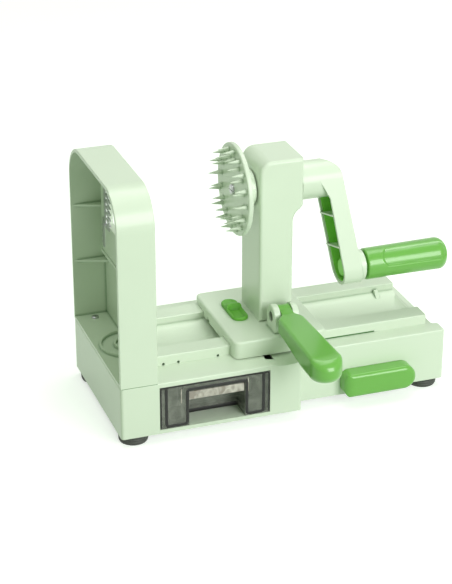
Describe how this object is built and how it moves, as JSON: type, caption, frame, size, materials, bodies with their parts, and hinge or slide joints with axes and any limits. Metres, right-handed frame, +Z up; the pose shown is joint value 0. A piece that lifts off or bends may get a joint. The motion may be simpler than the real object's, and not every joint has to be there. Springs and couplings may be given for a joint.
{
  "type": "hand crank spiralizer",
  "caption": "Tabletop vegetable spiralizer: railed base with drawer and suction foot, arched blade tower, and a sliding column with spiked disc, hand crank and push lever.",
  "frame": {"origin": "on the table, under the middle of the whole product's box at rest", "axes": "+X along the base, from the blade tower to the crank; +Y from the drawer front to the back; +Z up"},
  "size_m": [0.2818, 0.1975, 0.2062],
  "materials": {
    "pale_plastic": "satin, pale mint",
    "green_plastic": "satin, leaf green",
    "smoky_plastic": "clear, smoky grey",
    "bearing_plastic": "dull, dark",
    "steel": "ground steel",
    "rubber": "dull, dark grey"
  },
  "bodies": {
    "base": {"base_housing": "pale_plastic", "rail_track": "pale_plastic", "bottom_cover": "pale_plastic", "cover_screws": "steel", "rubber_feet": "rubber", "cam_bracket": "pale_plastic", "tower_hood": "pale_plastic", "tower_screws": "steel"},
    "cartridge": {"cartridge_frame": "pale_plastic", "slicing_blade": "steel", "julienne_comb": "steel", "coring_tube": "steel", "blade_screws": "steel"},
    "drawer": {"drawer_box": "smoky_plastic", "spare_frames": "pale_plastic", "spare_blades": "steel"},
    "carriage": {"carriage_plate": "pale_plastic", "column_body": "pale_plastic", "column_screws": "steel", "shaft_bushes": "bearing_plastic", "hinge_pin": "steel"},
    "latch": {"latch_button": "green_plastic", "latch_bolt": "green_plastic"},
    "push_handle": {"push_lever": "green_plastic"},
    "crank": {"spiked_disc": "pale_plastic", "disc_screw": "steel", "drive_shaft": "steel", "thrust_washers": "bearing_plastic", "crank_arm": "pale_plastic", "arm_liner": "green_plastic", "handle_spindle": "steel"},
    "grip": {"handle_grip": "green_plastic"},
    "suction_handle": {"suction_lever": "green_plastic", "cam_shaft": "steel"},
    "suction_foot": {"suction_plunger": "pale_plastic", "suction_pad": "rubber"}
  },
  "joints": [
    {"name": "cartridge_slide", "type": "slide", "parent": "base", "child": "cartridge", "axis": [-1, 0, 0], "range_m": [0, 0.03]},
    {"name": "drawer_slide", "type": "slide", "parent": "base", "child": "drawer", "axis": [0, -1, 0], "range_m": [0, 0.085]},
    {"name": "carriage_slide", "type": "slide", "parent": "base", "child": "carriage", "axis": [1, 0, 0], "range_m": [-0.064, 0.0747]},
    {"name": "latch_slide", "type": "slide", "parent": "carriage", "child": "latch", "axis": [0, -1, 0], "range_m": [0, 0.003]},
    {"name": "push_handle_hinge", "type": "hinge", "parent": "carriage", "child": "push_handle", "pos_m": [-0.00057, 0.00005, 0.0754], "axis": [-1, 0, 0], "range_deg": [0, 90]},
    {"name": "crank_spin", "type": "hinge", "parent": "carriage", "child": "crank", "pos_m": [0.01253, 0.0335, 0.1702], "axis": [1, 0, 0], "continuous": true},
    {"name": "grip_spin", "type": "hinge", "parent": "crank", "child": "grip", "pos_m": [0.07028, 0.01492, 0.10085], "axis": [1, 0, 0], "continuous": true},
    {"name": "suction_turn", "type": "hinge", "parent": "base", "child": "suction_handle", "pos_m": [0.09022, 0.0335, 0.0196], "axis": [0, 1, 0], "range_deg": [0, 90]},
    {"name": "suction_lift", "type": "slide", "parent": "base", "child": "suction_foot", "axis": [0, 0, 1], "range_m": [0, 0.00285]}
  ],
  "couplings": [
    {"joint": "suction_lift", "follows": "suction_turn", "m_per_rad": 0.0018006}
  ]
}
